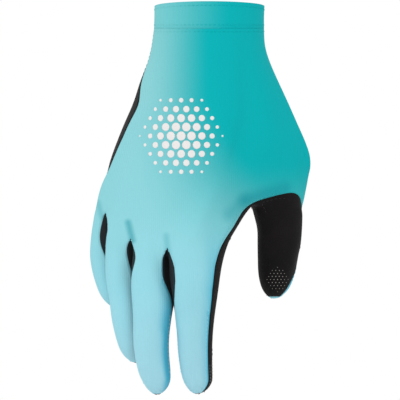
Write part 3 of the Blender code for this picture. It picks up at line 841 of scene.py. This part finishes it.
@dataclass
class SpotPatch:
    """Round spots of print or rubber in staggered rows over a patch of cloth."""

    name: str
    piece: ClothPiece
    face: Face
    centre: tuple[float, float]
    half: tuple[float, float]
    pitch: float
    widest: float
    narrowest: float
    height: float

    def carrier(self) -> bpy.types.Mesh:
        """Mesh of points with the direction and width of each spot."""
        surface = self.piece.tree()
        points, facing, widths = [], [], []
        row_step = self.pitch * math.sqrt(3.0) / 2.0
        rows = int(self.half[1] / row_step)
        columns = int(self.half[0] / self.pitch) + 1
        ray = Vector((-1.0, 0.0, 0.0)) if self.face is Face.INDEX_SIDE else Vector((0.0, 1.0, 0.0))
        for row in range(-rows, rows + 1):
            for column in range(-columns, columns + 1):
                across = (column + 0.5 * (row % 2)) * self.pitch
                down = row * row_step
                far = math.hypot(across / self.half[0], down / self.half[1])
                if far > 1.0:
                    continue
                if self.face is Face.INDEX_SIDE:
                    start = Vector((0.3, self.centre[0] + across, self.centre[1] + down))
                else:
                    start = Vector((self.centre[0] + across, -0.3, self.centre[1] + down))
                found, normal, _, _ = surface.ray_cast(start, ray)
                if found is None or normal.dot(ray) > -0.35:
                    continue
                points.append(found)
                facing.append(normal)
                widths.append(self.narrowest + (self.widest - self.narrowest) * (1.0 - far ** 2))
        data = bpy.data.meshes.new(self.name + "_places")
        data.from_pydata(points, [], [])
        data.attributes.new("facing", "FLOAT_VECTOR", "POINT").data.foreach_set(
            "vector", np.array(facing, dtype=np.float32).ravel())
        data.attributes.new("width", "FLOAT", "POINT").data.foreach_set(
            "value", np.array(widths, dtype=np.float32))
        return data

    def build(self, tree: NodeTree, finish: bpy.types.Material, slot: str) -> bpy.types.Object:
        """Make the spots.

        Args:
            tree: tree that lays them.
            finish: material of the spots.
            slot: material slot of the record; not used.

        Returns:
            The finished object.
        """
        item = tree.apply(self.name, self.carrier(), {"Height": self.height, "Material": finish})
        item.data.shade_smooth()
        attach(item, "root")
        LOG.info("%s: %d faces", self.name, len(item.data.polygons))
        return item


@dataclass
class Glove:
    """The whole glove: cloth pieces, seams, print and grip dots."""

    low: Vector
    high: Vector

    def build(self) -> None:
        """Build every piece in order."""
        height = self.high.z - self.low.z
        knit = KnitFinish("back_knit", pale=(
            (0.00, "8CD1D4"), (0.30, "8ED2D8"), (0.52, "91D6DE"), (0.72, "9CDDEA"), (1.00, "B0E3F1")))
        hem = KnitFinish("hem_knit", pale=((0.0, "82CFD3"), (1.0, "82CFD3")), edge=-0.0165, fade=0.060,
                         rib_depth=0.00004, creases=())
        knit_material = knit.material(height)
        suede = SuedeFinish("palm_suede").material()
        back = ClothPiece("back_panel", "stretch_knit")
        back.build(knit_material)
        hem_band = ClothPiece("hem_band", "stretch_hem", seam_crease=0.6)
        hem_band.build(hem.material(height))
        palm = ClothPiece("palm_panel", "synthetic_suede")
        palm.build(suede)
        thumb = ClothPiece("thumb_front", "synthetic_suede")
        thumb.build(suede)
        mesh_cloth = MeshFinish("slot_mesh").material()
        for node in ("fourchette_little_ring", "fourchette_ring_middle", "fourchette_middle_index"):
            ClothPiece(node, "mesh_cloth").build(mesh_cloth)
        thread = KnitFinish("teal_thread", pale=knit.pale, rib_depth=0.0, creases=()).material(height)
        self.sew(thread, back, hem_band, palm, thumb)
        self.mark(back, palm, thumb)

    def sew(self, teal: bpy.types.Material, back: ClothPiece, hem_band: ClothPiece, palm: ClothPiece,
            thumb: ClothPiece) -> None:
        """Lay the stitches along the seams.

        Args:
            teal: material of the thread on the knit.
            back: teal back of the glove.
            hem_band: hem around the wrist opening.
            palm: black palm.
            thumb: black front of the thumb.
        """
        stitches = stitch_tree()
        black = ThreadFinish("black_thread", "242222", "0E0D0D").material()
        SeamStitching(back).build(stitches, teal, "stretch_knit")
        SeamStitching(hem_band, inset=0.0022).build(stitches, teal, "stretch_hem")
        SeamStitching(palm).build(stitches, black, "synthetic_suede")
        SeamStitching(thumb).build(stitches, black, "synthetic_suede")

    def mark(self, back: ClothPiece, palm: ClothPiece, thumb: ClothPiece) -> None:
        """Lay the printed pattern on the back of the hand and the grip dots.

        Args:
            back: teal back of the glove.
            palm: black palm.
            thumb: black front of the thumb.
        """
        spots = spot_tree()
        print_finish = RubberFinish("white_print", "E9E6E5", "D9D6D5").material()
        dots = RubberFinish("grip_dots", "8E8983", "4B4845", roughness=0.45).material()
        SpotPatch("back_print", back, Face.BACK_OF_HAND, centre=(-0.0170, -0.0780), half=(0.0250, 0.0270),
                  pitch=0.0062, widest=0.0058, narrowest=0.0012, height=0.00030).build(
            spots, print_finish, "stretch_knit")
        SpotPatch("thumb_grip", thumb, Face.THUMB_PAD, centre=(0.0408, -0.1641), half=(0.0070, 0.0075),
                  pitch=0.0021, widest=0.00075, narrowest=0.00045, height=0.00050).build(
            spots, dots, "synthetic_suede")
        SpotPatch("index_grip", palm, Face.INDEX_SIDE, centre=(0.0040, -0.2195), half=(0.0075, 0.0110),
                  pitch=0.0021, widest=0.00075, narrowest=0.00045, height=0.00050).build(
            spots, dots, "synthetic_suede")


@dataclass
class Studio:
    """White ground, soft light and a camera square to the back of the hand."""

    centre: tuple[float, float, float] = (-0.0057, 0.0, -0.1164)
    width: float = 0.2400
    floor_height: float = -0.2450
    key: float = 2.6
    fill: float = 0.90

    def build(self) -> None:
        """Set up the floor, the lights, the white surround and the camera."""
        scene = bpy.context.scene
        scene.view_settings.view_transform = "Standard"
        self.floor()
        self.surround(scene)
        self.light("key_light", (-0.55, -0.90, 0.45), 0.7, self.key)
        camera = bpy.data.cameras.new("photo_camera")
        camera.type = "ORTHO"
        camera.ortho_scale = self.width
        camera.dof.use_dof = False
        item = bpy.data.objects.new("photo_camera", camera)
        item.location = (self.centre[0], -1.0, self.centre[2])
        item.rotation_euler = (math.radians(90.0), 0.0, 0.0)
        scene.collection.objects.link(item)
        scene.camera = item

    def floor(self) -> None:
        """Pale floor below the fingertips."""
        data = bpy.data.meshes.new("floor")
        half = 1.5
        corners = [(-half, -half), (half, -half), (half, half), (-half, half)]
        data.from_pydata([(x, y, self.floor_height) for x, y in corners], [], [(0, 1, 2, 3)])
        tree = Tree("floor_paper")
        grain = tree.noise(40.0, 2.0)
        tree.join(tree.mix(grain * 0.1, (0.90, 0.90, 0.90, 1.0), (0.84, 0.84, 0.84, 1.0)),
                  tree.shader.inputs["Base Color"])
        tree.shader.inputs["Roughness"].default_value = 0.9
        data.materials.append(tree.material)
        item = bpy.data.objects.new("floor", data)
        bpy.context.scene.collection.objects.link(item)

    def surround(self, scene: bpy.types.Scene) -> None:
        """White all round, brighter to the camera than to the glove.

        Args:
            scene: scene that is lit.
        """
        world = bpy.data.worlds.new("surround")
        scene.world = world
        world.use_nodes = True
        nodes = world.node_tree.nodes
        background = nodes["Background"]
        background.inputs["Color"].default_value = (1.0, 1.0, 1.0, 1.0)
        path = nodes.new("ShaderNodeLightPath")
        strength = nodes.new("ShaderNodeMapRange")
        strength.inputs["To Min"].default_value = self.fill
        strength.inputs["To Max"].default_value = 1.0
        world.node_tree.links.new(path.outputs["Is Camera Ray"], strength.inputs["Value"])
        world.node_tree.links.new(strength.outputs["Result"], background.inputs["Strength"])

    def light(self, name: str, place: tuple[float, float, float], size: float, power: float) -> None:
        """Square soft light that faces the glove.

        Args:
            name: name of the light.
            place: where it stands.
            size: length of its side.
            power: its power in watts.
        """
        lamp = bpy.data.lights.new(name, "AREA")
        lamp.size = size
        lamp.energy = power
        item = bpy.data.objects.new(name, lamp)
        item.location = place
        away = Vector(self.centre) - Vector(place)
        item.rotation_euler = away.to_track_quat("-Z", "Y").to_euler()
        bpy.context.scene.collection.objects.link(item)


def main() -> None:
    """Build the glove and the studio."""
    logging.basicConfig(level=logging.INFO, format="%(message)s")
    low, high = FRAME_BOUNDS
    Glove(low, high).build()
    Studio().build()


if __name__ == "__main__":
    main()
